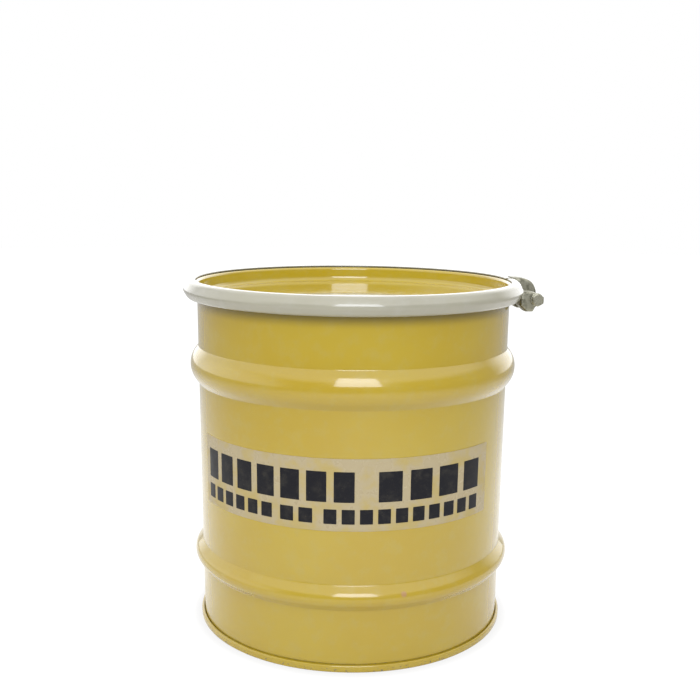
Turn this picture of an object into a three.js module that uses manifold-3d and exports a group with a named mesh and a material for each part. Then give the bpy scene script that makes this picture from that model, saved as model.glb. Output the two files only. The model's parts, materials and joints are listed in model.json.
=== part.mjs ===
// Open-head steel overpack drum with a recessed cover and a bolted closing ring.
//
// Millimetres, +Z up. The origin is the centre of the circle that the drum stands on,
// and the middle of the label faces -Y.
import * as THREE from 'three';
import { mergeVertices } from 'three/addons/utils/BufferGeometryUtils.js';
import Module from 'manifold-3d';

const wasm = await Module();
wasm.setup();

// ---------------------------------------------------------------- driving dimensions

const insideDiameter = 355.6; // 14 inch drum
const overallHeight = 404; // floor to the top of the closing ring
const sheet = 1.0; // body, bottom head and cover
const ringSheet = 1.9; // closing ring
const clearance = 0.3; // between pieces that touch

const facets = 40; // flats round every turned piece
const boltFacets = 24; // flats round the bolt and its holes

// Rolling hoops, pressed outwards from the body.
const hoopHeight = 8.8;
const hoopHalfWidth = 17;
const lowerHoopHeight = 87; // floor to the crown
const upperHoopDrop = 94; // top of the ring down to the crown

// Double seam that joins the bottom head to the body.
const seamHeight = 8.4;
const headRecess = 9.5; // floor to the underside of the head's panel
const headCorner = 4;
const compoundHeight = 1.0;

// Curled rim of the body.
const curlRadius = 5.0;
const curlSweep = THREE.MathUtils.degToRad(295);

// Cover and its gasket.
const coverDepth = 19.4; // top of the ring down to the cover's panel
const coverPlay = 0.5; // between the cover and the rim that it drops into
const coverFillet = 5.5;
const channelCorner = 3;
const lipOverlap = 1; // how far the lip's edge stays above the middle of the curl
const gasketThickness = 4.6;
const gasketWidth = 7;

// Closing ring, a rounded channel that is split at the closure.
const ringRoom = 3.3; // cover lip to the inside of the channel
const ringRound = 8.5; // radial depth of the rounded face
const ringTopLip = 13.2;
const ringBottomLip = 11;
const ringGap = 9;

// Closure: two lugs drawn together by one bolt, at this angle from +X towards +Y.
const closureAngle = THREE.MathUtils.degToRad(11);
const boltRadius = 3.95;
const boltOutset = 14; // ring's face to the bolt's axis
const boltDrop = 21.5; // top of the ring down to the bolt's axis
const boltProtrusion = 5;
const hexAcrossFlats = 12.7;
const headThickness = 5.3;
const nutThickness = 4.8;
const washerRadius = 7.5;
const washerThickness = 1.6;
const threadRoom = 0.3; // bolt to the bore of the nut and of the threaded lug
const plainBoreRoom = 0.65; // bolt to the bore of the plain lug and of the washer
const lugSpacing = 14; // between the two lugs' facing ends
const plainLugLength = 24;
const threadedLugLength = 26;
const plainBarrelRadius = 6.8;
const threadedBarrelRadius = 11;
const lugFoot = 14; // how far each lug reaches below the bolt's axis
const lugPlay = 0.6; // cover lip to the lugs, so that the ring lifts past it

// Self-adhesive label, between the hoops.
const labelLength = 377;
const labelHeight = 78;
const labelThickness = 0.4;

// ---------------------------------------------------------------- sizes that follow

const wallInside = insideDiameter / 2;
const wallOutside = wallInside + sheet;
const upperHoopHeight = overallHeight - upperHoopDrop;

const coverTop = overallHeight - ringSheet - clearance;
const gasketTop = coverTop - sheet - clearance;
const gasketBottom = gasketTop - gasketThickness;
const curlMiddleRadius = wallInside + curlRadius;
const curlMiddleHeight = gasketBottom - clearance - curlRadius;
const panelHeight = overallHeight - coverDepth;
const coverWallInside = wallInside - coverPlay - sheet;
const coverLipOutside = curlMiddleRadius + curlRadius + coverPlay + sheet;

const ringOutside = coverLipOutside + ringRoom + ringSheet;
const ringBottom = curlMiddleHeight - curlRadius - clearance - ringSheet;

const boltAxisRadius = ringOutside + boltOutset;
const boltAxisHeight = overallHeight - boltDrop;
const plainLugEnd = -lugSpacing / 2 - plainLugLength;
const threadedLugEnd = lugSpacing / 2 + threadedLugLength;
const washerEnd = plainLugEnd - clearance - washerThickness;
const boltShoulder = washerEnd - clearance;

// ---------------------------------------------------------------- outline helpers

const point = (radius, height) => new THREE.Vector2(radius, height);

// Points on an arc or a part of an ellipse, from one angle to another.
function arc(middle, radiusAcross, radiusUp, from, to, steps) {
  return Array.from({ length: steps + 1 }, (_, i) => {
    const angle = from + ((to - from) * i) / steps;
    return point(middle.x + radiusAcross * Math.cos(angle), middle.y + radiusUp * Math.sin(angle));
  });
}

// A smooth swell: 0 at either end, 1 in the middle, for t from -1 to 1.
const swell = (t) => (1 + Math.cos(Math.PI * t)) / 2;

// The path moved sideways by a distance, to the right of its direction.
function offsetPath(path, distance) {
  const rightOf = (a, b) => point(b.y - a.y, a.x - b.x).normalize();
  return path.map((at, i) => {
    const before = i > 0 ? rightOf(path[i - 1], at) : rightOf(at, path[i + 1]);
    const after = i < path.length - 1 ? rightOf(at, path[i + 1]) : before;
    const mitre = before.clone().add(after).normalize();
    return at.clone().addScaledVector(mitre, distance / mitre.dot(after));
  });
}

// Outline of a sheet whose one face follows the path, with the metal to the right of it.
const sheetOutline = (path, thickness) => [...path, ...offsetPath(path, thickness).reverse()];

// Turned solid about +Z from an outline in radius and height.
function turned(outline) {
  const loop = THREE.ShapeUtils.isClockWise(outline) ? outline.slice().reverse() : outline.slice();
  if (loop[0].x > 0) loop.push(loop[0].clone());
  return new THREE.LatheGeometry(loop, facets).rotateX(Math.PI / 2);
}

// ---------------------------------------------------------------- solid helpers

function toSolid(geometry) {
  const bare = geometry.clone();
  bare.deleteAttribute('normal');
  bare.deleteAttribute('uv');
  const merged = mergeVertices(bare);
  return new wasm.Manifold(new wasm.Mesh({
    numProp: 3,
    vertProperties: merged.attributes.position.array,
    triVerts: Uint32Array.from(merged.index.array),
  }));
}

function toGeometry(solid) {
  const mesh = solid.getMesh();
  const geometry = new THREE.BufferGeometry();
  geometry.setAttribute('position', new THREE.BufferAttribute(mesh.vertProperties, mesh.numProp));
  geometry.setIndex(new THREE.BufferAttribute(mesh.triVerts, 1));
  return geometry;
}

// Straight bar of a section given in radius and height, from one place to another along
// the bolt, then turned about the drum's axis to where the closure is.
function barAtClosure(section, from, to) {
  return new THREE.ExtrudeGeometry(section, { depth: to - from, bevelEnabled: false, curveSegments: 5 })
    .rotateX(Math.PI / 2)
    .translate(0, to, 0)
    .rotateZ(closureAngle);
}

// Round or hexagonal bar on the bolt's axis.
function barOnBolt(radius, sides, from, to) {
  return new THREE.CylinderGeometry(radius, radius, to - from, sides)
    .translate(boltAxisRadius, (from + to) / 2, boltAxisHeight)
    .rotateZ(closureAngle);
}

const hexRadius = hexAcrossFlats / Math.sqrt(3);
const bore = (radius, from, to) => toSolid(barOnBolt(radius, boltFacets, from - 1, to + 1));

// ---------------------------------------------------------------- drum body

function hoop(height) {
  const steps = 3;
  return Array.from({ length: 2 * steps + 1 }, (_, i) => {
    const t = (i - steps) / steps;
    return point(wallInside + hoopHeight * swell(t), height + hoopHalfWidth * t);
  });
}

const seamLayer = sheet + clearance;
const bodyHookOutside = wallOutside + 2 * seamLayer;
const bodyHookTop = seamHeight - seamLayer;

function drumShell() {
  const inside = [
    point(bodyHookOutside, bodyHookTop),
    point(bodyHookOutside, seamLayer),
    point(wallInside, seamLayer),
    ...hoop(lowerHoopHeight),
    ...hoop(upperHoopHeight),
    ...arc(point(curlMiddleRadius, curlMiddleHeight), curlRadius, curlRadius, Math.PI, Math.PI - curlSweep, 8),
  ];
  return turned(sheetOutline(inside, sheet));
}

// ---------------------------------------------------------------- bottom head and its seam

const headHookInside = wallOutside + clearance;
const headHookOutside = headHookInside + sheet;
const headHookEnd = seamLayer + sheet + clearance + compoundHeight + clearance;

function bottomHead() {
  const wall = wallInside - clearance;
  const panelTop = headRecess + sheet;
  const cornerMiddle = point(wall - headCorner, panelTop - headCorner);
  const inside = [
    point(0, panelTop),
    ...arc(cornerMiddle, headCorner, headCorner, Math.PI / 2, 0, 3),
    point(wall, sheet),
    point(bodyHookOutside + clearance, sheet),
    point(bodyHookOutside + clearance, seamHeight - sheet),
    point(headHookOutside, seamHeight - sheet),
    point(headHookOutside, headHookEnd),
  ];
  return turned(sheetOutline(inside, sheet));
}

function seamCompound() {
  const bottom = seamLayer + sheet + clearance;
  return turned([
    point(headHookInside, bottom),
    point(headHookOutside, bottom),
    point(headHookOutside, bottom + compoundHeight),
    point(headHookInside, bottom + compoundHeight),
  ]);
}

// ---------------------------------------------------------------- label

// Thin shell that follows the body's wall, cut to the label's length.
function labelFilm() {
  const inner = wallOutside + clearance;
  const outer = inner + labelThickness;
  const middle = (lowerHoopHeight + upperHoopHeight) / 2;
  const bottom = middle - labelHeight / 2;
  const top = middle + labelHeight / 2;
  const band = turned([point(inner, bottom), point(outer, bottom), point(outer, top), point(inner, top)]);
  const halfAngle = labelLength / 2 / outer;
  const reach = outer * 2;
  const far = arc(point(0, 0), reach, reach, -Math.PI / 2 - halfAngle, -Math.PI / 2 + halfAngle, 8);
  const sector = new THREE.Shape([point(0, 0), ...far]);
  const cutter = new THREE.ExtrudeGeometry(sector, { depth: overallHeight, bevelEnabled: false });
  return toGeometry(toSolid(band).intersect(toSolid(cutter)));
}

// ---------------------------------------------------------------- cover and gasket

function cover() {
  const shoulder = point(coverWallInside + channelCorner, coverTop - channelCorner);
  const lipCorner = point(coverLipOutside - channelCorner, coverTop - channelCorner);
  const filletMiddle = point(coverWallInside - coverFillet, panelHeight + coverFillet);
  const top = [
    point(0, panelHeight),
    ...arc(filletMiddle, coverFillet, coverFillet, -Math.PI / 2, 0, 4),
    ...arc(shoulder, channelCorner, channelCorner, Math.PI, Math.PI / 2, 3),
    ...arc(lipCorner, channelCorner, channelCorner, Math.PI / 2, 0, 3),
    point(coverLipOutside, curlMiddleHeight + lipOverlap),
  ];
  return turned(sheetOutline(top, sheet));
}

function coverGasket() {
  const inner = curlMiddleRadius - gasketWidth / 2;
  const outer = curlMiddleRadius + gasketWidth / 2;
  return turned([
    point(inner, gasketBottom),
    point(outer, gasketBottom),
    point(outer, gasketTop),
    point(inner, gasketTop),
  ]);
}

// ---------------------------------------------------------------- closing ring

function ringFace() {
  const roundMiddle = point(ringOutside - ringRound, (overallHeight + ringBottom) / 2);
  const halfHeight = (overallHeight - ringBottom) / 2;
  return [
    point(ringOutside - ringTopLip, overallHeight),
    ...arc(roundMiddle, ringRound, halfHeight, Math.PI / 2, -Math.PI / 2, 8),
    point(ringOutside - ringBottomLip, ringBottom),
  ];
}

function closingRing() {
  const whole = toSolid(turned(sheetOutline(ringFace(), ringSheet)));
  const gap = new THREE.BoxGeometry(ringOutside, ringGap, overallHeight)
    .translate(ringOutside, 0, overallHeight)
    .rotateZ(closureAngle);
  return toGeometry(whole.subtract(toSolid(gap)));
}

// The space that the ring takes up, with its clearance, for the lugs to fit round.
function ringSpace() {
  const face = offsetPath(ringFace(), -clearance);
  const inner = face[0].x;
  return toSolid(turned([point(inner, face.at(-1).y), ...face.slice().reverse(), point(inner, face[0].y)]));
}

// ---------------------------------------------------------------- closure

// Section of a lug: from the ring's face over the barrel, and under the ring.
function lugSection(barrelRadius, topHeight, crownRadius, crownHeight) {
  const inner = coverLipOutside + lugPlay;
  const footHeight = boltAxisHeight - lugFoot;
  const section = new THREE.Shape();
  section.moveTo(inner, topHeight);
  section.bezierCurveTo(
    (inner + crownRadius) / 2, topHeight + (crownHeight - topHeight) / 2,
    crownRadius, crownHeight,
    boltAxisRadius + barrelRadius, boltAxisHeight,
  );
  section.absarc(boltAxisRadius, boltAxisHeight, barrelRadius, 0, -Math.PI / 2, true);
  section.lineTo(boltAxisRadius - barrelRadius / 2, footHeight);
  section.lineTo(inner + lugFoot / 2, footHeight);
  section.lineTo(inner, footHeight + lugFoot / 2);
  section.closePath();
  return section;
}

function lug(section, boreRadius, from, to) {
  const blank = toSolid(barAtClosure(section, from, to));
  return toGeometry(blank.subtract(ringSpace()).subtract(bore(boreRadius, from, to)));
}

function threadedLug() {
  const section = lugSection(
    threadedBarrelRadius,
    overallHeight - clearance,
    boltAxisRadius + threadedBarrelRadius - 1,
    overallHeight - clearance,
  );
  return lug(section, boltRadius + threadRoom, lugSpacing / 2, threadedLugEnd);
}

function plainLug() {
  const top = boltAxisHeight + plainBarrelRadius + 2;
  const section = lugSection(plainBarrelRadius, top, boltAxisRadius + plainBarrelRadius, top);
  return lug(section, boltRadius + plainBoreRoom, plainLugEnd, -lugSpacing / 2);
}

function closingBolt() {
  const head = toSolid(barOnBolt(hexRadius, 6, boltShoulder - headThickness, boltShoulder));
  const shank = toSolid(barOnBolt(boltRadius, boltFacets, boltShoulder - 1, threadedLugEnd + boltProtrusion));
  return toGeometry(head.add(shank));
}

function boltWasher() {
  const disc = toSolid(barOnBolt(washerRadius, boltFacets, washerEnd, washerEnd + washerThickness));
  return toGeometry(disc.subtract(bore(boltRadius + plainBoreRoom, washerEnd, plainLugEnd)));
}

function lockNut() {
  const to = lugSpacing / 2 - clearance;
  const from = to - nutThickness;
  const blank = toSolid(barOnBolt(hexRadius, 6, from, to));
  return toGeometry(blank.subtract(bore(boltRadius + threadRoom, from, to)));
}

// ---------------------------------------------------------------- assembly

const yellowPaint = { color: 0xd0ac3c, roughness: 0.35, metalness: 0.0 };
const ringPaint = { color: 0xbcbda8, roughness: 0.4, metalness: 0.0 };
const zinc = { color: 0xa9aa98, roughness: 0.35, metalness: 1.0 };

const pieces = {
  drum_shell: [drumShell, yellowPaint],
  bottom_head: [bottomHead, yellowPaint],
  seam_compound: [seamCompound, { color: 0x3a3a38, roughness: 0.8, metalness: 0.0 }],
  label_film: [labelFilm, { color: 0xcfc08e, roughness: 0.5, metalness: 0.0 }],
  cover: [cover, yellowPaint],
  cover_gasket: [coverGasket, { color: 0x202020, roughness: 0.9, metalness: 0.0 }],
  closing_ring: [closingRing, ringPaint],
  plain_lug: [plainLug, zinc],
  threaded_lug: [threadedLug, zinc],
  closing_bolt: [closingBolt, zinc],
  bolt_washer: [boltWasher, zinc],
  lock_nut: [lockNut, zinc],
};

const drum = new THREE.Group();
for (const [name, [build, finish]] of Object.entries(pieces)) {
  const mesh = new THREE.Mesh(build(), new THREE.MeshStandardMaterial(finish));
  mesh.name = name;
  drum.add(mesh);
}

export default drum;
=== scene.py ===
"""Looks of a yellow steel overpack drum: hooped body, recessed cover and bolted closing ring.

All lengths are in metres, +Z up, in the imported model's frame. The label faces -Y.
"""

import json
import logging
import math
from dataclasses import dataclass
from enum import Enum
from typing import Callable, Optional, Sequence

import bmesh
import bpy
from mathutils import Matrix, Vector, noise


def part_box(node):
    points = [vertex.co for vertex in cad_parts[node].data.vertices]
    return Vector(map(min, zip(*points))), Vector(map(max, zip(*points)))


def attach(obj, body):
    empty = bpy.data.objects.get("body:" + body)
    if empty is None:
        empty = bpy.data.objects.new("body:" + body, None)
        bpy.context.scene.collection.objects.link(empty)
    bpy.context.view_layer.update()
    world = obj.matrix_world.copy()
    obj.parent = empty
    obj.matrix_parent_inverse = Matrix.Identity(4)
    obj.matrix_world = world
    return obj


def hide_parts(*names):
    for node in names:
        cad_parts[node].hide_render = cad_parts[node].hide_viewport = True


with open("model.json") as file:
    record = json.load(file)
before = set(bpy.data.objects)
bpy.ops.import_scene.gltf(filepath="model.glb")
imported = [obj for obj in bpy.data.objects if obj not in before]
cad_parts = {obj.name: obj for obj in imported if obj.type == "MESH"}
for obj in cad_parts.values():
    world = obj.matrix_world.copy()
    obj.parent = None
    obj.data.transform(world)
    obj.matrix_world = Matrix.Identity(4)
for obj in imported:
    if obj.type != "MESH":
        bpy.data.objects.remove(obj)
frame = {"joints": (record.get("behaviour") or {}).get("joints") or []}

log = logging.getLogger("overpack_drum")

Colour = tuple[float, float, float, float]
Outline = list[tuple[float, float]]
Placing = Callable[[float, float, float], Vector]
RadiusAt = Callable[[float, float, float], float]

MM = 0.001
SHARP_ANGLE = math.radians(38)
TURNED_FACETS = 288
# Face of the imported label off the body's wall.
LABEL_STAND_OFF = 0.7 * MM
# Step that keeps the two ends of a closed outline apart.
END_STEP = 0.01 * MM


class Body(Enum):
    """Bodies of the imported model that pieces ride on."""

    DRUM = "drum"
    COVER = "cover"
    RING = "ring"
    CARRIAGE = "bolt_carriage"
    BOLT = "bolt"
    NUT = "lock_nut"


class Slot(Enum):
    """Material slots of the record."""

    BODY_PAINT = "body_paint"
    RING_PAINT = "ring_paint"
    ZINC = "zinc_steel"
    GASKET = "gasket_rubber"
    COMPOUND = "seam_compound"
    LABEL = "label_film"


# ---------------------------------------------------------------- outlines


def arc(
    middle: tuple[float, float],
    across: float,
    up: float,
    start: float,
    end: float,
    steps: int,
) -> Outline:
    """Points on an arc or a part of an ellipse.

    Args:
        middle: Centre, in radius and height.
        across: Radius along the first coordinate.
        up: Radius along the second coordinate.
        start: First angle in radians.
        end: Last angle in radians.
        steps: Number of straight steps.

    Returns:
        The points in order.
    """
    angles = [start + (end - start) * i / steps for i in range(steps + 1)]
    return [(middle[0] + across * math.cos(a), middle[1] + up * math.sin(a)) for a in angles]


def rounded(corners: Sequence[tuple[float, float, float]], steps: int = 6) -> Outline:
    """Path through corners, each turned on its own radius.

    Args:
        corners: Radius, height and corner radius of each corner; the two ends are not turned.
        steps: Straight steps on each corner.

    Returns:
        The points in order.
    """
    path: Outline = []
    for i, (x, y, fillet) in enumerate(corners):
        if fillet <= 0 or i in (0, len(corners) - 1):
            path.append((x, y))
            continue
        here = Vector((x, y))
        back = (Vector(corners[i - 1][:2]) - here).normalized()
        ahead = (Vector(corners[i + 1][:2]) - here).normalized()
        half = back.angle(ahead) / 2
        middle = here + (back + ahead).normalized() * fillet / math.sin(half)
        first = here + back * fillet / math.tan(half) - middle
        last = here + ahead * fillet / math.tan(half) - middle
        start = math.atan2(first.y, first.x)
        turn = math.atan2(last.y, last.x) - start
        turn = (turn + math.pi) % math.tau - math.pi
        path += arc(middle, fillet, fillet, start, start + turn, steps)
    return path


def moved_aside(path: Outline, distance: float) -> Outline:
    """The path moved to the right of its direction.

    Args:
        path: Points in order.
        distance: How far it moves; negative moves it to the left.

    Returns:
        The moved points.
    """
    points = [Vector(p) for p in path]
    sides = []
    for a, b in zip(points, points[1:]):
        step = (b - a).normalized()
        sides.append(Vector((step.y, -step.x)))
    moved: Outline = []
    for i, here in enumerate(points):
        before = sides[max(i - 1, 0)]
        after = sides[min(i, len(sides) - 1)]
        mitre = (before + after).normalized()
        place = here + mitre * distance / max(mitre.dot(after), 0.4)
        moved.append((place.x, place.y))
    return moved


def sheet_outline(path: Outline, thickness: float, edge_steps: int = 4) -> Outline:
    """Closed outline of a sheet with rolled-off cut edges.

    Args:
        path: One face of the sheet; the metal is to the right of it.
        thickness: Thickness of the metal.
        edge_steps: Steps round each cut edge.

    Returns:
        The closed outline.
    """
    other = moved_aside(path, thickness)

    def edge(a: tuple[float, float], b: tuple[float, float], inwards: tuple[float, float]) -> Outline:
        """Half round from a to b, bulging away from the sheet."""
        middle = (Vector(a) + Vector(b)) / 2
        out = (Vector(a) - Vector(inwards)).normalized() * thickness / 2
        side = Vector(a) - middle
        turns = [math.pi * (i + 1) / (edge_steps + 1) for i in range(edge_steps)]
        return [tuple(middle + side * math.cos(t) + out * math.sin(t)) for t in turns]

    outline = list(path)
    if path[-1][0] > 0:
        outline += edge(path[-1], other[-1], path[-2])
    outline += other[::-1]
    if path[0][0] > 0:
        outline += edge(other[0], path[0], other[1])
    return outline


def closed_section(
    across: tuple[float, float],
    up: tuple[float, float],
    corners: tuple[float, float, float, float],
    steps: int,
) -> Outline:
    """Closed four-cornered outline that starts in the middle of its lower side.

    Args:
        across: First and last value of the first coordinate.
        up: First and last value of the second coordinate.
        corners: Corner radii, from the far lower corner round to the near lower one.
        steps: Straight steps on each corner.

    Returns:
        The closed outline.
    """
    near, far = across
    low, high = up
    middle = (near + far) / 2
    places = ((far, low), (far, high), (near, high), (near, low))
    turns = [(*place, corner) for place, corner in zip(places, corners)]
    return rounded([(middle, low, 0), *turns, (middle - END_STEP, low, 0)], steps)


def wall_radius() -> float:
    """Outside radius of the body's wall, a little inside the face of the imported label."""
    return -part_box("label_film")[0].y - LABEL_STAND_OFF


# ---------------------------------------------------------------- meshes


def seat(x: float, y: float, z: float) -> Vector:
    """Slight unevenness of pressed sheet, the same for all pieces that fit together."""
    radius = math.hypot(x, y)
    if radius < 1e-6:
        return Vector((x, y, z))
    swing = noise.noise(Vector((x * 9, y * 9, z * 7))) * 0.00022
    swing += noise.noise(Vector((x * 26, y * 26, z * 21))) * 0.00006
    scale = 1 + swing / max(radius, 0.08)
    return Vector((x * scale, y * scale, z))


def upright(x: float, y: float, z: float) -> Vector:
    """The point as it is."""
    return Vector((x, y, z))


def to_object(name: str, mesh_maker: bmesh.types.BMesh, sharp: float = SHARP_ANGLE) -> bpy.types.Object:
    """Turns a finished bmesh into an object of the scene.

    Args:
        name: Name of the piece.
        mesh_maker: The bmesh, which is freed.
        sharp: Edges that turn more than this stay crisp.

    Returns:
        The new object.
    """
    bmesh.ops.recalc_face_normals(mesh_maker, faces=mesh_maker.faces)
    mesh = bpy.data.meshes.new(name)
    mesh_maker.to_mesh(mesh)
    mesh_maker.free()
    mesh.shade_smooth()
    mesh.set_sharp_from_angle(angle=sharp)
    piece = bpy.data.objects.new(name, mesh)
    bpy.context.scene.collection.objects.link(piece)
    return piece


def grid_shell(
    bm: bmesh.types.BMesh,
    rows: list[list[bmesh.types.BMVert]],
    wrap_rows: bool,
    wrap: bool,
) -> None:
    """Joins rows of vertices with faces.

    Args:
        bm: The bmesh that holds them.
        rows: Rows of equal length; a row may repeat one vertex, where it lies on an axis.
        wrap_rows: Whether the last row joins the first.
        wrap: Whether each row closes on itself.
    """
    count = len(rows[0])
    last_row = len(rows) if wrap_rows else len(rows) - 1
    last = count if wrap else count - 1
    for i in range(last_row):
        near = rows[i]
        far = rows[(i + 1) % len(rows)]
        for j in range(last):
            k = (j + 1) % count
            corners = [near[j], near[k], far[k], far[j]]
            unique = list(dict.fromkeys(corners))
            if len(unique) > 2:
                bm.faces.new(unique)


def turned(
    name: str,
    outline: Outline,
    placing: Placing = seat,
    start: float = 0.0,
    sweep: float = math.tau,
    facets: int = TURNED_FACETS,
) -> bpy.types.Object:
    """Piece turned about +Z from a closed outline in radius and height.

    Args:
        name: Name of the piece.
        outline: Closed outline; where it starts and ends on the axis it is closed there.
        placing: Moves each point to where it lies.
        start: First angle, from +X towards +Y.
        sweep: How far it turns.
        facets: Steps round the sweep.

    Returns:
        The new object.
    """
    bm = bmesh.new()
    whole = sweep > math.tau - 1e-6
    count = facets if whole else facets + 1
    rows = []
    for radius, height in outline:
        if radius < 1e-7:
            rows.append([bm.verts.new(placing(0, 0, height))] * count)
            continue
        row = []
        for j in range(count):
            angle = start + sweep * j / facets
            row.append(bm.verts.new(placing(radius * math.cos(angle), radius * math.sin(angle), height)))
        rows.append(row)
    grid_shell(bm, rows, wrap_rows=outline[0][0] > 1e-7, wrap=whole)
    if not whole:
        ends = [bm.faces.new([row[0] for row in rows]), bm.faces.new([row[-1] for row in rows])]
        bmesh.ops.triangulate(bm, faces=ends, ngon_method="EAR_CLIP")
    return to_object(name, bm)


def with_cuts(piece: bpy.types.Object, cutters: Sequence[bpy.types.Object]) -> bpy.types.Object:
    """Cuts other solids out of a piece and removes them.

    Args:
        piece: The piece that is cut.
        cutters: The solids that are taken out of it.

    Returns:
        The piece, with its mesh cut.
    """
    for cutter in cutters:
        modifier = piece.modifiers.new("cut", "BOOLEAN")
        modifier.operation = "DIFFERENCE"
        modifier.solver = "EXACT"
        modifier.object = cutter
    bpy.context.view_layer.update()
    cut = bpy.data.meshes.new_from_object(piece.evaluated_get(bpy.context.evaluated_depsgraph_get()))
    piece.modifiers.clear()
    piece.data = cut
    for cutter in cutters:
        bpy.data.objects.remove(cutter)
    cut.shade_smooth()
    cut.set_sharp_from_angle(angle=SHARP_ANGLE)
    return piece


def fit_piece(
    piece: bpy.types.Object,
    body: Body,
    material: bpy.types.Material,
    stands_for: Sequence[str] = (),
) -> bpy.types.Object:
    """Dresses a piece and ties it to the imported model.

    Args:
        piece: The finished piece.
        body: Body that it moves with.
        material: Its finish.
        stands_for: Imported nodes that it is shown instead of.

    Returns:
        The piece.
    """
    piece.data.materials.clear()
    piece.data.materials.append(material)
    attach(piece, body.value)
    if stands_for:
        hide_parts(*stands_for)
    log.info("%s: %d faces, rides on %s", piece.name, len(piece.data.polygons), body.value)
    return piece


# ---------------------------------------------------------------- finishes


class Recipe:
    """Node tree of one finish, with a short call for each kind of node."""

    def __init__(self, name: str) -> None:
        """Starts an empty finish with a principled surface.

        Args:
            name: Name of the material.
        """
        self.material = bpy.data.materials.new(name)
        self.material.use_nodes = True
        self.tree = self.material.node_tree
        self.tree.nodes.clear()
        self.surface = self.add("ShaderNodeBsdfPrincipled")
        output = self.add("ShaderNodeOutputMaterial")
        self.tree.links.new(self.surface.outputs["BSDF"], output.inputs["Surface"])
        self.place = self.add("ShaderNodeTexCoord").outputs["Object"]

    def add(self, kind: str) -> bpy.types.Node:
        """Adds a node of this kind."""
        return self.tree.nodes.new(kind)

    def feed(self, socket: bpy.types.NodeSocket, value: object) -> None:
        """Links an output to a socket, or sets the socket's own value.

        Args:
            socket: The input socket.
            value: An output socket, a number or a colour.
        """
        if isinstance(value, bpy.types.NodeSocket):
            self.tree.links.new(value, socket)
        else:
            socket.default_value = value

    def noise(self, scale: float, detail: float, rough: float) -> bpy.types.NodeSocket:
        """Noise over the piece's own coordinates.

        Args:
            scale: Features per metre.
            detail: Number of finer layers.
            rough: Strength of the finer layers.

        Returns:
            The noise value, about 0.5 on average.
        """
        node = self.add("ShaderNodeTexNoise")
        self.feed(node.inputs["Vector"], self.place)
        node.inputs["Scale"].default_value = scale
        node.inputs["Detail"].default_value = detail
        node.inputs["Roughness"].default_value = rough
        return node.outputs["Fac"]

    def spread(
        self,
        value: bpy.types.NodeSocket,
        low: float,
        high: float,
        to_low: float = 0.0,
        to_high: float = 1.0,
    ) -> bpy.types.NodeSocket:
        """Maps a range smoothly onto another.

        Args:
            value: What is mapped.
            low: Value that gives to_low.
            high: Value that gives to_high.
            to_low: Result at the low end.
            to_high: Result at the high end.

        Returns:
            The mapped value.
        """
        node = self.add("ShaderNodeMapRange")
        node.interpolation_type = "SMOOTHSTEP"
        self.feed(node.inputs["Value"], value)
        for key, number in (("From Min", low), ("From Max", high), ("To Min", to_low), ("To Max", to_high)):
            node.inputs[key].default_value = number
        return node.outputs["Result"]

    def maths(self, operation: str, a: object, b: object) -> bpy.types.NodeSocket:
        """One sum of two values.

        Args:
            operation: Name of the operation.
            a: First value or socket.
            b: Second value or socket.

        Returns:
            The result.
        """
        node = self.add("ShaderNodeMath")
        node.operation = operation
        self.feed(node.inputs[0], a)
        self.feed(node.inputs[1], b)
        return node.outputs["Value"]

    def blend(self, share: bpy.types.NodeSocket, a: object, b: object) -> bpy.types.NodeSocket:
        """Mixes two colours.

        Args:
            share: Share of the second colour.
            a: First colour or socket.
            b: Second colour or socket.

        Returns:
            The mixed colour.
        """
        node = self.add("ShaderNodeMix")
        node.data_type = "RGBA"
        self.feed(node.inputs[0], share)
        self.feed(node.inputs[6], a)
        self.feed(node.inputs[7], b)
        return node.outputs[2]

    def height(self) -> bpy.types.NodeSocket:
        """Height above the floor at rest."""
        node = self.add("ShaderNodeSeparateXYZ")
        self.feed(node.inputs[0], self.place)
        return node.outputs["Z"]

    def radius(self) -> bpy.types.NodeSocket:
        """Distance from the drum's axis."""
        flat = self.add("ShaderNodeVectorMath")
        flat.operation = "MULTIPLY"
        self.feed(flat.inputs[0], self.place)
        flat.inputs[1].default_value = (1, 1, 0)
        length = self.add("ShaderNodeVectorMath")
        length.operation = "LENGTH"
        self.feed(length.inputs[0], flat.outputs[0])
        return length.outputs["Value"]

    def near(self, value: bpy.types.NodeSocket, middle: float, reach: float) -> bpy.types.NodeSocket:
        """1 where a value is at the middle, falling smoothly to 0 at the reach.

        Args:
            value: The value.
            middle: Where the result is 1.
            reach: How far away the result is 0.

        Returns:
            The mask.
        """
        away = self.maths("ABSOLUTE", self.maths("SUBTRACT", value, middle), 0.0)
        return self.spread(away, 0.0, reach, 1.0, 0.0)

    def spot(self, at: tuple[float, float, float], size: float) -> bpy.types.NodeSocket:
        """1 at a point, falling smoothly to 0 at a distance.

        Args:
            at: The point.
            size: Distance at which it is 0.

        Returns:
            The mask.
        """
        node = self.add("ShaderNodeVectorMath")
        node.operation = "DISTANCE"
        self.feed(node.inputs[0], self.place)
        node.inputs[1].default_value = at
        return self.spread(node.outputs["Value"], size * 0.35, size, 1.0, 0.0)

    def facing_up(self) -> bpy.types.NodeSocket:
        """Height part of the surface's direction."""
        geometry = self.add("ShaderNodeNewGeometry")
        node = self.add("ShaderNodeSeparateXYZ")
        self.feed(node.inputs[0], geometry.outputs["Normal"])
        return node.outputs["Z"]

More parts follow.
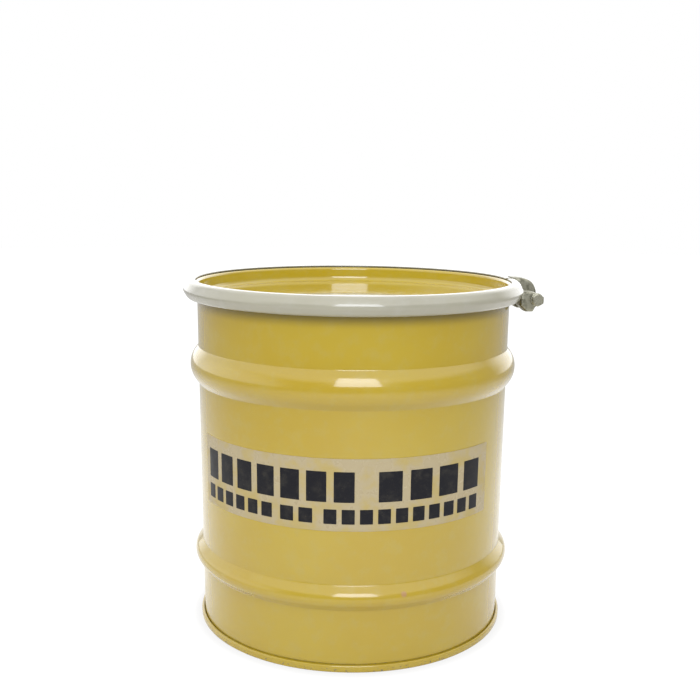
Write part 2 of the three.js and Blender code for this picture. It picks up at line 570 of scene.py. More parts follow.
    def bump(
        self,
        height: bpy.types.NodeSocket,
        depth: float,
        strength: float = 1.0,
        onto: Optional[bpy.types.NodeSocket] = None,
    ) -> bpy.types.NodeSocket:
        """Relief from a height value.

        Args:
            height: The height value, 0 to 1.
            depth: Depth that a value of 1 stands for.
            strength: Share of the relief that shows.
            onto: Relief that this one is added to.

        Returns:
            The direction of the surface.
        """
        node = self.add("ShaderNodeBump")
        node.inputs["Strength"].default_value = strength
        node.inputs["Distance"].default_value = depth
        self.feed(node.inputs["Height"], height)
        if onto is not None:
            self.feed(node.inputs["Normal"], onto)
        return node.outputs["Normal"]

    def finish(
        self,
        colour: object,
        rough: object,
        relief: Optional[bpy.types.NodeSocket] = None,
        **uniform: object,
    ) -> bpy.types.Material:
        """Connects the surface.

        Args:
            colour: Base colour.
            rough: Roughness.
            relief: Direction of the surface, if it has relief.
            **uniform: Values that are the same all over, by socket name with _ for a space.

        Returns:
            The finished material.
        """
        self.feed(self.surface.inputs["Base Color"], colour)
        self.feed(self.surface.inputs["Roughness"], rough)
        if relief is not None:
            self.feed(self.surface.inputs["Normal"], relief)
        for key, value in uniform.items():
            self.surface.inputs[key.replace("_", " ")].default_value = value
        return self.material


@dataclass(frozen=True)
class WearBand:
    """Height at which paint is knocked off.

    Args:
        height: Middle of the band.
        reach: Half width of the band.
        bite: Noise value above which paint is gone; lower is more wear.
    """

    height: float
    reach: float
    bite: float


@dataclass(frozen=True)
class Enamel:
    """Glossy stoved enamel with clouding, orange peel, dust and worn edges.

    Args:
        name: Name of the material.
        colour: Main colour.
        deep: Slightly richer colour that clouds into it.
        pale: Slightly greyer colour that clouds into it.
        bare: Colour under the paint.
        rough: Roughness of a clean patch.
        wear: Bands where paint is knocked off.
        grime: Heights and reaches of dirt lines.
        shadow: Height, reach and strength of a band of painted shade under an edge, if any.
        blemish: Place and size of a touched-up knock, if there is one.
        dark_edge: Radius inside which the cut edge is dark, if any.
        peel: Share of the orange peel's relief.
        dusty: Share of the dust on faces that look up.
    """

    name: str
    colour: Colour
    deep: Colour
    pale: Colour
    bare: Colour = (0.09, 0.075, 0.05, 1)
    rough: float = 0.17
    wear: tuple[WearBand, ...] = ()
    grime: tuple[tuple[float, float], ...] = ()
    shadow: Optional[tuple[float, float, float]] = None
    blemish: Optional[tuple[tuple[float, float, float], float]] = None
    dark_edge: Optional[float] = None
    peel: float = 1.0
    dusty: float = 1.0

    def build(self) -> bpy.types.Material:
        """Makes the node material."""
        r = Recipe(self.name)
        clouds = r.noise(7, 3, 0.55)
        mottle = r.noise(62, 4, 0.6)
        grain = r.noise(1300, 2, 0.6)
        colour = r.blend(r.spread(clouds, 0.36, 0.66), self.colour, self.deep)
        colour = r.blend(r.spread(mottle, 0.46, 0.72, 0, 0.45), colour, self.pale)
        colour = r.blend(r.spread(grain, 0.52, 0.8, 0, 0.35), colour, self.deep)
        lying = r.spread(r.facing_up(), 0.55, 0.98)
        dust = r.maths("MULTIPLY", lying, r.spread(mottle, 0.35, 0.7, 0.04 * self.dusty, 0.2 * self.dusty))
        colour = r.blend(dust, colour, self.pale)
        rough = r.spread(mottle, 0.3, 0.75, self.rough * 0.8, self.rough * 1.5)
        rough = r.maths("ADD", rough, r.maths("MULTIPLY", dust, 0.15))
        height = r.height()
        chips = r.noise(430, 4, 0.62)
        gone: object = 0.0
        for band in self.wear:
            bitten = r.spread(chips, band.bite, band.bite + 0.02)
            here = r.near(height, band.height, band.reach)
            gone = r.maths("MAXIMUM", gone, r.maths("MULTIPLY", bitten, here))
        if self.wear:
            gone = r.spread(gone, 0.35, 0.55)
            colour = r.blend(gone, colour, self.bare)
            rough = r.maths("ADD", rough, r.maths("MULTIPLY", gone, 0.4))
        smear = r.noise(300, 3, 0.7)
        for level, reach in self.grime:
            dirt = r.maths("MULTIPLY", r.near(height, level, reach), r.spread(smear, 0.38, 0.6, 0.25, 0.95))
            colour = r.blend(dirt, colour, (0.05, 0.042, 0.022, 1))
            rough = r.maths("ADD", rough, r.maths("MULTIPLY", dirt, 0.3))
        if self.shadow:
            level, reach, strength = self.shadow
            # Painted shade: the paint is darkened in a band, standing in for the shade that falls under an
            # edge.
            painted_shade_band = r.maths("MULTIPLY", r.near(height, level, reach), strength)
            colour = r.blend(painted_shade_band, colour, (0.05, 0.04, 0.012, 1))
        if self.blemish:
            knock = r.spot(*self.blemish)
            colour = r.blend(r.maths("MULTIPLY", knock, 0.75), colour, (0.36, 0.19, 0.11, 1))
        if self.dark_edge:
            edge = r.spread(r.radius(), self.dark_edge - 0.0004, self.dark_edge, 1.0, 0.0)
            colour = r.blend(r.maths("MULTIPLY", edge, 0.9), colour, (0.14, 0.13, 0.085, 1))
        peel = r.noise(240, 2, 0.5)
        relief = r.bump(peel, 0.00012, 0.35 * self.peel)
        relief = r.bump(grain, 0.00004, 0.1 * self.peel, relief)
        if self.wear:
            relief = r.bump(r.maths("SUBTRACT", 1.0, gone), 0.00008, 0.7, relief)
        return r.finish(colour, rough, relief, Coat_Weight=0.8, Coat_Roughness=0.05)


@dataclass(frozen=True)
class ZincPlate:
    """Yellowish zinc plating on a forging or a bolt.

    Args:
        name: Name of the material.
        colour: Main colour.
        tarnish: Colour of the dull patches.
        rough: Roughness of a clean patch.
        forged: Depth of the uneven forged skin.
    """

    name: str
    colour: Colour = (0.36, 0.35, 0.27, 1)
    tarnish: Colour = (0.14, 0.135, 0.095, 1)
    rough: float = 0.3
    forged: float = 0.0002

    def build(self) -> bpy.types.Material:
        """Makes the node material."""
        r = Recipe(self.name)
        patches = r.noise(150, 4, 0.6)
        grain = r.noise(1500, 3, 0.6)
        colour = r.blend(r.spread(patches, 0.42, 0.68), self.colour, self.tarnish)
        colour = r.blend(r.spread(grain, 0.5, 0.8, 0, 0.5), colour, self.tarnish)
        rough = r.spread(patches, 0.35, 0.7, self.rough, self.rough + 0.25)
        relief = r.bump(r.noise(420, 3, 0.55), self.forged, 0.6)
        relief = r.bump(grain, 0.00003, 0.4, relief)
        return r.finish(colour, rough, relief, Metallic=0.85)


@dataclass(frozen=True)
class Film:
    """Printed self-adhesive film that the paint shows through in patches."""

    name: str = "label film"
    colour: Colour = (0.37, 0.302, 0.175, 1)
    patchy: Colour = (0.385, 0.295, 0.10, 1)
    edge: Colour = (0.42, 0.37, 0.25, 1)

    def build(self) -> bpy.types.Material:
        """Makes the node material."""
        r = Recipe(self.name)
        sparkle = r.noise(1700, 2, 0.7)
        wet = r.noise(38, 4, 0.6)
        colour = r.blend(r.spread(wet, 0.44, 0.66), self.colour, self.patchy)
        colour = r.blend(r.spread(sparkle, 0.55, 0.8, 0, 0.5), colour, self.edge)
        rough = r.spread(wet, 0.35, 0.65, 0.24, 0.42)
        relief = r.bump(wet, 0.00012, 0.4)
        relief = r.bump(sparkle, 0.00003, 0.5, relief)
        return r.finish(colour, rough, relief)


@dataclass(frozen=True)
class PrintInk:
    """Black printing ink with small voids and an uneven sheen."""

    name: str = "label ink"
    colour: Colour = (0.006, 0.006, 0.009, 1)
    faded: Colour = (0.022, 0.02, 0.018, 1)

    def build(self) -> bpy.types.Material:
        """Makes the node material."""
        r = Recipe(self.name)
        voids = r.noise(1500, 3, 0.7)
        wear = r.noise(90, 4, 0.6)
        colour = r.blend(r.spread(wear, 0.45, 0.75), self.colour, self.faded)
        colour = r.blend(r.spread(voids, 0.66, 0.76, 0, 0.6), colour, (0.4, 0.33, 0.16, 1))
        rough = r.spread(wear, 0.35, 0.7, 0.28, 0.45)
        return r.finish(colour, rough, r.bump(voids, 0.00002, 0.4), Specular_IOR_Level=0.2)


@dataclass(frozen=True)
class Elastomer:
    """Matt rubber or dried sealing compound.

    Args:
        name: Name of the material.
        colour: Main colour.
        bloom: Paler bloom on it.
    """

    name: str
    colour: Colour
    bloom: Colour

    def build(self) -> bpy.types.Material:
        """Makes the node material."""
        r = Recipe(self.name)
        bloom = r.noise(120, 4, 0.6)
        grain = r.noise(1600, 2, 0.6)
        colour = r.blend(r.spread(bloom, 0.45, 0.75, 0, 0.7), self.colour, self.bloom)
        relief = r.bump(grain, 0.00006, 0.6)
        relief = r.bump(bloom, 0.00025, 0.4, relief)
        return r.finish(colour, r.spread(bloom, 0.3, 0.7, 0.62, 0.85), relief)


@dataclass(frozen=True)
class StudioFloor:
    """Pale floor, lit from below as a shooting table is, with a faint painted shade where the drum stands.
    """

    name: str = "studio floor"
    glow: float = 1.0
    shade: float = 0.16
    foot: float = 0.1827

    def build(self) -> bpy.types.Material:
        """Makes the node material."""
        r = Recipe(self.name)
        cloud = r.spread(r.noise(3, 3, 0.5), 0.3, 0.7, 0.0, 0.02)
        # Painted contact shade: the floor's glow is lowered round the drum's foot.
        near = r.spread(r.radius(), self.foot, self.foot + 0.02, self.shade, 0.0)
        r.feed(r.surface.inputs["Emission Strength"], r.maths("SUBTRACT", self.glow, near))
        colour = r.blend(cloud, (0.08, 0.08, 0.08, 1), (0.07, 0.07, 0.07, 1))
        return r.finish(colour, 0.9, Emission_Color=(1, 1, 1, 1), Specular_IOR_Level=0.0)


@dataclass(frozen=True)
class FloorBounce:
    """Light that the floor sends back up to the drum."""

    name: str = "studio floor bounce"
    near: Colour = (0.80, 0.79, 0.76, 1)
    far: Colour = (0.42, 0.415, 0.40, 1)

    def build(self) -> bpy.types.Material:
        """Makes the node material."""
        r = Recipe(self.name)
        away = r.maths("ADD", r.radius(), r.spread(r.noise(3, 3, 0.5), 0.3, 0.7, -0.05, 0.05))
        colour = r.blend(r.spread(away, 0.35, 1.9), self.near, self.far)
        return r.finish(colour, 0.9, Specular_IOR_Level=0.0)


@dataclass(frozen=True)
class RoomGlow:
    """Light of the room: bright ceiling, back and left side, and a dimmer front and right side."""

    name: str = "studio room"
    ceiling: float = 1.4
    back: float = 1.7
    left: float = 1.5
    right: float = 0.36
    walls: float = 0.45

    def build(self) -> bpy.types.Material:
        """Makes the node material."""
        r = Recipe(self.name)
        length = r.add("ShaderNodeVectorMath")
        length.operation = "NORMALIZE"
        r.feed(length.inputs[0], r.place)
        parts = r.add("ShaderNodeSeparateXYZ")
        r.feed(parts.inputs[0], length.outputs[0])
        right = r.spread(parts.outputs["X"], 0.5, 0.95, self.walls, self.right)
        left = r.spread(parts.outputs["X"], -0.95, -0.5, self.left, self.walls)
        glow = r.maths("MAXIMUM", left, right)
        glow = r.maths("MAXIMUM", glow, r.spread(parts.outputs["Z"], 0.3, 0.7, 0.0, self.ceiling))
        glow = r.maths("MAXIMUM", glow, r.spread(parts.outputs["Y"], 0.3, 0.8, 0.0, self.back))
        r.feed(r.surface.inputs["Base Color"], (0, 0, 0, 1))
        r.feed(r.surface.inputs["Emission Color"], (1, 1, 1, 1))
        r.feed(r.surface.inputs["Emission Strength"], glow)
        r.feed(r.surface.inputs["Specular IOR Level"], 0.0)
        return r.material


# ---------------------------------------------------------------- drum body


@dataclass(frozen=True)
class Hoop:
    """Rolling hoop pressed outwards from the body.

    Args:
        height: Height of the crown.
        rise: How far the crown stands out.
        flank: Steepest slope of either flank, in degrees.
        crown: Radius over the crown.
        foot: Radius at the foot of each flank.
    """

    height: float
    rise: float
    flank: float
    crown: float
    foot: float

    def path(self, wall: float) -> Outline:
        """Inside face of the hoop, from its lower foot to its upper foot.

        Args:
            wall: Inside radius of the body.

        Returns:
            The points in order.
        """
        slope = math.radians(self.flank)
        turned_in = (self.crown + self.foot) * (1 - math.cos(slope))
        straight = (self.rise - turned_in) / math.sin(slope)
        half = (self.crown + self.foot) * math.sin(slope) + straight * math.cos(slope)
        side = self.height - half
        low_foot = arc((wall + self.foot, side), self.foot, self.foot, math.pi, math.pi - slope, 6)
        crown_middle = (wall + self.rise - self.crown, self.height)
        lower = list(low_foot)
        upper = [(x, 2 * self.height - y) for x, y in lower[::-1]]
        return lower + arc(crown_middle, self.crown, self.crown, -slope, slope, 16) + upper


@dataclass
class DrumBody:
    """Body of the drum: hooped shell, seamed-on bottom head, compound and side weld."""

    sheet: float = 1.0 * MM
    gap: float = 0.3 * MM
    curl: float = 5.0 * MM
    curl_sweep: float = math.radians(295)
    head_corner: float = 4.0 * MM
    weld_angle: float = math.radians(68)
    weld_half_width: float = 2.6 * MM
    weld_crown: float = 0.28 * MM
    weld_bite: float = 0.3 * MM
    hook_top: float = 7.1 * MM
    seam_top: float = 7.4 * MM
    fold_foot: float = 3.9 * MM
    head_flat: float = 118 * MM
    wall_start: float = 20 * MM
    compound_foot: float = 2.6 * MM
    compound_top: float = 3.6 * MM

    def __post_init__(self) -> None:
        """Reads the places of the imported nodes."""
        self.wall_outside = wall_radius()
        self.wall_inside = self.wall_outside - self.sheet
        self.crown_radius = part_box("drum_shell")[1].x
        self.rim_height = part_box("drum_shell")[1].z
        self.seam_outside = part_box("bottom_head")[1].x
        self.panel_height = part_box("bottom_head")[1].z
        rise = self.crown_radius - self.wall_outside
        self.lower_hoop = Hoop(84.8 * MM, rise, 43, 11.0 * MM, 3.5 * MM)
        self.upper_hoop = Hoop(308.3 * MM, rise + 0.4 * MM, 38, 25.0 * MM, 3.0 * MM)

    def shell_path(self) -> Outline:
        """Inside face of the shell, from the hook in the bottom seam to the curled rim."""
        layer = self.sheet + self.gap
        hook_outside = self.seam_outside - layer
        hook = rounded(
            [
                (hook_outside, self.hook_top, 0),
                (hook_outside, layer, 1.2 * MM),
                (self.wall_inside, layer, 1.0 * MM),
                (self.wall_inside, self.wall_start, 0),
            ],
            5,
        )
        middle = (self.wall_inside + self.curl, self.rim_height - self.curl)
        rim = arc(middle, self.curl, self.curl, math.pi, math.pi - self.curl_sweep, 40)
        return hook + self.lower_hoop.path(self.wall_inside) + self.upper_hoop.path(self.wall_inside) + rim

    def shell(self) -> bpy.types.Object:
        """Turns the shell."""
        return turned("drum_shell_sheet", sheet_outline(self.shell_path(), self.sheet))

    def bottom_head(self) -> bpy.types.Object:
        """Turns the bottom head, whose rim wraps round the foot of the shell."""
        wall = self.wall_inside - self.gap
        outer = self.seam_outside - self.sheet
        hook = self.wall_outside + self.gap + self.sheet
        path = rounded(
            [
                (0, self.panel_height, 0),
                (self.head_flat, self.panel_height, 0),
                (wall, self.panel_height, self.head_corner),
                (wall, self.sheet, 0.9 * MM),
                (outer, self.sheet, 1.5 * MM),
                (outer, self.seam_top, 0.75 * MM),
                (hook, self.seam_top, 0.75 * MM),
                (hook, self.fold_foot, 0),
            ],
            8,
        )
        return turned("bottom_head_seamed", sheet_outline(path, self.sheet))

    def compound(self) -> bpy.types.Object:
        """Turns the bead of sealing compound inside the seam."""
        inner = self.wall_outside + self.gap
        corners = (0.3 * MM,) * 4
        across = (inner, inner + self.sheet)
        path = closed_section(across, (self.compound_foot, self.compound_top), corners, 3)
        return turned("seam_compound_bead", path)

    def side_weld(self) -> bpy.types.Object:
        """Sweeps the planished side weld up the outside of the wall and over both hoops."""
        outside = moved_aside(self.shell_path(), self.sheet)
        track = [p for p in outside if 12 * MM < p[1] < self.rim_height - 2 * self.curl - 2 * MM]
        track = [p for p in track if p[0] >= self.wall_outside - 0.1 * MM]
        fine: Outline = []
        for a, b in zip(track, track[1:]):
            steps = max(1, round(math.dist(a, b) / (2.5 * MM)))
            shares = [i / steps for i in range(steps)]
            fine += [(a[0] + (b[0] - a[0]) * t, a[1] + (b[1] - a[1]) * t) for t in shares]
        bm = bmesh.new()
        rows = []
        across = 8
        for radius, height in fine:
            wander = noise.noise(Vector((0, 0, height * 60))) * 0.35 * MM
            row = []
            for i in range(across + 1):
                t = -1 + 2 * i / across
                ripple = 1 + 0.25 * noise.noise(Vector((t, 3, height * 900)))
                lift = self.weld_crown * (1 - t * t) * ripple - 0.12 * MM
                angle = self.weld_angle + (t * self.weld_half_width + wander) / radius
                out = radius + lift
                row.append(bm.verts.new(seat(out * math.cos(angle), out * math.sin(angle), height)))
            back = []
            for i in (across, 0):
                t = -1 + 2 * i / across
                angle = self.weld_angle + (t * self.weld_half_width + wander) / radius
                deep = radius - self.weld_bite
                back.append(bm.verts.new(seat(deep * math.cos(angle), deep * math.sin(angle), height)))
            rows.append(row + back)
        grid_shell(bm, rows, wrap_rows=False, wrap=True)
        bm.faces.new(rows[0])
        bm.faces.new(rows[-1])
        return to_object("side_weld_bead", bm)

    def build(self, paint: bpy.types.Material, sealant: bpy.types.Material) -> None:
        """Builds and dresses the body.

        Args:
            paint: Finish of the sheet metal.
            sealant: Finish of the compound.
        """
        fit_piece(self.shell(), Body.DRUM, paint, ["drum_shell"])
        fit_piece(self.bottom_head(), Body.DRUM, paint, ["bottom_head"])
        fit_piece(self.compound(), Body.DRUM, sealant, ["seam_compound"])
        fit_piece(self.side_weld(), Body.DRUM, paint)


# ---------------------------------------------------------------- label


@dataclass(frozen=True)
class PrintRow:
    """Row of plain printed cells.

    Args:
        low: Height of the cells' foot.
        high: Height of their top.
        groups: Angle of the start and of the end of each group, and its number of cells.
        gap: Share of the pitch that is left blank.
    """

    low: float
    high: float
    groups: tuple[tuple[float, float, int], ...]
    gap: float


@dataclass
class Label:
    """Self-adhesive label on the front of the body, with two rows of plain printed cells."""

    film_thickness: float = 0.22 * MM
    film_lift: float = 0.12 * MM
    ink_thickness: float = 0.06 * MM
    length: float = 377 * MM
    corner: float = 1.5 * MM
    rows: tuple[PrintRow, ...] = (
        PrintRow(190.8 * MM, 223.6 * MM, ((-57.1, 5.9, 7), (13.9, 55.0, 4)), 0.26),
        PrintRow(167.2 * MM, 183.2 * MM, ((-57.2, -23.0, 6), (-19.8, -8.2, 2), (-4.4, 54.6, 10)), 0.28),
    )

    def __post_init__(self) -> None:
        """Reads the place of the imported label."""
        low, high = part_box("label_film")
        self.low = low.z
        self.high = high.z
        self.wall = wall_radius()
        self.half_angle = self.length / 2 / -low.y

    def lay(self, along: float, height: float, lift: float) -> Vector:
        """Point on the wall.

        Args:
            along: Angle from the middle of the label, in radians, to the right from the front.
            height: Height above the floor.
            lift: Distance off the wall.

        Returns:
            The point.
        """
        angle = along - math.pi / 2
        radius = self.wall + lift
        bubbles = noise.noise(Vector((along * 14, height * 90, 5)))
        radius += max(0.0, bubbles - 0.45) * 0.25 * MM
        return seat(radius * math.cos(angle), radius * math.sin(angle), height)

    def patch(
        self,
        bm: bmesh.types.BMesh,
        spans: tuple[float, float, float, float],
        lifts: tuple[float, float],
        corner: float,
        pitch: float,
    ) -> None:
        """Adds a thin curved plate with rounded corners.

        Args:
            bm: The bmesh that it is added to.
            spans: First and last angle, foot and top.
            lifts: Lift of its back and of its face.
            corner: Corner radius.
            pitch: Largest size of its faces.
        """
        a0, a1, z0, z1 = spans
        width = (a1 - a0) * self.wall
        tall = z1 - z0
        columns = max(6, round(width / pitch))
        levels = max(4, round(tall / pitch))
        xs = sorted({0.0, *[corner * (1 - math.cos(math.pi / 8 * k)) for k in range(5)]})
        between = [corner + (width - 2 * corner) * i / columns for i in range(1, columns)]
        sides = xs + between + [width - x for x in xs[::-1]]

        def inset(x: float) -> float:
            """How far the rounded corner cuts into the foot and the top at this place."""
            edge = min(x, width - x)
            if edge >= corner:
                return 0.0
            return corner - math.sqrt(max(corner**2 - (corner - edge) ** 2, 0.0))

        faces = []
        for lift in lifts:
            rows = []
            for x in sides:
                cut = inset(x)
                row = []
                for j in range(levels + 1):
                    height = z0 + cut + (tall - 2 * cut) * j / levels
                    row.append(bm.verts.new(self.lay(a0 + x / self.wall, height, lift)))
                rows.append(row)
            faces.append(rows)
            grid_shell(bm, rows, wrap_rows=False, wrap=False)
        back, front = faces
        rim = []
        for rows in (back, front):
            foot = [row[0] for row in rows]
            top = [row[-1] for row in rows[::-1]]
            rim.append(foot + rows[-1][1:] + top[1:] + rows[0][::-1][1:-1])
        grid_shell(bm, rim, wrap_rows=False, wrap=True)

    def film(self) -> bpy.types.Object:
        """Builds the film."""
        bm = bmesh.new()
        spans = (-self.half_angle, self.half_angle, self.low, self.high)
        lifts = (self.film_lift, self.film_lift + self.film_thickness)
        self.patch(bm, spans, lifts, self.corner, 2.2 * MM)
        return to_object("label_film_sheet", bm)

    def cells(self) -> bpy.types.Object:
        """Builds the printed cells, as one piece."""
        bm = bmesh.new()
        base = self.film_lift + self.film_thickness
        for row in self.rows:
            for first, last, count in row.groups:
                pitch = (last - first) / (count - row.gap)
                for i in range(count):
                    start = math.radians(first + pitch * i)
                    end = math.radians(first + pitch * (i + 1 - row.gap))
                    lifts = (base + 0.01 * MM, base + self.ink_thickness)
                    self.patch(bm, (start, end, row.low, row.high), lifts, 0.7 * MM, 2.6 * MM)
        return to_object("label_printed_cells", bm)

    def build(self, film: bpy.types.Material, ink: bpy.types.Material) -> None:
        """Builds and dresses the label.

        Args:
            film: Finish of the film.
            ink: Finish of the printed cells.
        """
        fit_piece(self.film(), Body.DRUM, film, ["label_film"])
        fit_piece(self.cells(), Body.DRUM, ink)


# ---------------------------------------------------------------- cover


@dataclass
class Cover:
    """Recessed cover that drops into the rim, with its gasket."""

    sheet: float = 1.0 * MM
    wall_in: float = 13.0 * MM
    fillet: float = 6.0 * MM
    shoulder: float = 3.0 * MM
    sag: float = 0.12 * MM
    sag_reach: float = 158 * MM
    flat_reach: float = 160 * MM
    lip_foot: float = 391.6 * MM
    gasket_width: float = 7 * MM

    def __post_init__(self) -> None:
        """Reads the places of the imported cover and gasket."""
        self.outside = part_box("cover")[1].x
        self.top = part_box("cover")[1].z
        self.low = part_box("cover")[0].z
        self.gasket_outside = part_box("cover_gasket")[1].x
        self.gasket_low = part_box("cover_gasket")[0].z
        self.gasket_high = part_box("cover_gasket")[1].z

    def pan(self) -> bpy.types.Object:
        """Turns the cover: slightly sagging panel, wall, channel over the rim and lip."""
        panel = self.low + self.sheet
        wall = self.outside - self.wall_in
        steps = 24
        path: Outline = []
        for i in range(steps + 1):
            share = i / steps
            path.append((self.sag_reach * share, panel - self.sag * 0.5 * (1 + math.cos(math.pi * share))))
        edge = rounded(
            [
                (self.flat_reach, panel, 0),
                (wall, panel, self.fillet),
                (wall, self.top, self.shoulder),
                (self.outside, self.top, self.shoulder),
                (self.outside, self.lip_foot, 0),
            ],
            10,
        )
        return turned("recessed_cover_pan", sheet_outline(path + edge, self.sheet))

    def gasket(self) -> bpy.types.Object:
        """Turns the gasket that lies in the cover's channel."""
        across = (self.gasket_outside - self.gasket_width, self.gasket_outside)
        corners = (1.4 * MM, 0.8 * MM, 0.8 * MM, 1.4 * MM)
        path = closed_section(across, (self.gasket_low, self.gasket_high), corners, 5)
        return turned("cover_gasket_ring", path)

    def build(self, paint: bpy.types.Material, rubber: bpy.types.Material) -> None:
        """Builds and dresses the cover.

        Args:
            paint: Finish of the cover.
            rubber: Finish of the gasket.
        """
        fit_piece(self.pan(), Body.COVER, paint, ["cover"])
        fit_piece(self.gasket(), Body.COVER, rubber, ["cover_gasket"])


# ---------------------------------------------------------------- closing ring and closure


@dataclass
class ClosingRing:
    """Rounded steel channel that clamps the cover to the rim, split at the closure."""

    sheet: float = 1.9 * MM
    round_depth: float = 8.5 * MM
    bend: float = 6.2 * MM
    corner: float = 6.4 * MM
    top_lip: float = 13.2 * MM
    bottom_lip: float = 11.0 * MM
    corner_in: float = 5.4 * MM
    bend_out: float = 0.75 * MM
    room_inside: float = 170 * MM
    gap: float = 9.0 * MM
    angle: float = math.radians(11)
    clearance: float = 0.3 * MM

    def __post_init__(self) -> None:
        """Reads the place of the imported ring."""
        low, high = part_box("closing_ring")
        self.outside = -low.x
        self.low = low.z
        self.high = high.z

    def face(self) -> Outline:
        """Outer face of the channel, from the top lip's edge to the bottom lip's edge."""
        middle = (self.high + self.low) / 2
        return rounded(
            [
                (self.outside - self.top_lip, self.high, 0),
                (self.outside - self.corner_in, self.high, self.corner),
                (self.outside + self.bend_out, middle, self.bend),
                (self.outside - self.corner_in, self.low, self.corner),
                (self.outside - self.bottom_lip, self.low, 0),
            ],
            14,
        )

    def band(self) -> bpy.types.Object:
        """Turns the channel, all but the gap at the closure."""
        half_gap = self.gap / 2 / self.outside
        outline = sheet_outline(self.face(), self.sheet)
        return turned(
            "closing_ring_band",
            outline,
            start=self.angle + half_gap,
            sweep=math.tau - 2 * half_gap,
            facets=TURNED_FACETS,
        )

    def room(self) -> bpy.types.Object:
        """Solid that the ring takes up near the closure, with clearance."""
        face = moved_aside(self.face(), -self.clearance)
        outline = [(self.room_inside, face[0][1]), *face, (self.room_inside, face[-1][1])]
        sweep = math.radians(44)
        return turned("ring_room", outline, upright, self.angle - sweep / 2, sweep, 60)

    def build(self, paint: bpy.types.Material) -> None:
        """Builds and dresses the ring.

        Args:
            paint: Finish of the ring.
        """
        fit_piece(self.band(), Body.RING, paint, ["closing_ring"])


@dataclass(frozen=True)
class LugShape:
    """Sizes of one forged lug.

    Args:
        name: Name of the piece.
        node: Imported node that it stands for.
        start: First place along the bolt.
        end: Last place along the bolt.
        barrel: Radius round the bolt.
        top: Height of its root on the ring.
        crown_out: How far past the bolt's axis the crown reaches.
        crown: Height of the crown.
        bore: Radius of its hole.
    """

    name: str
    node: str
    start: float
    end: float
    barrel: float
    top: float
    crown_out: float
    crown: float
    bore: float


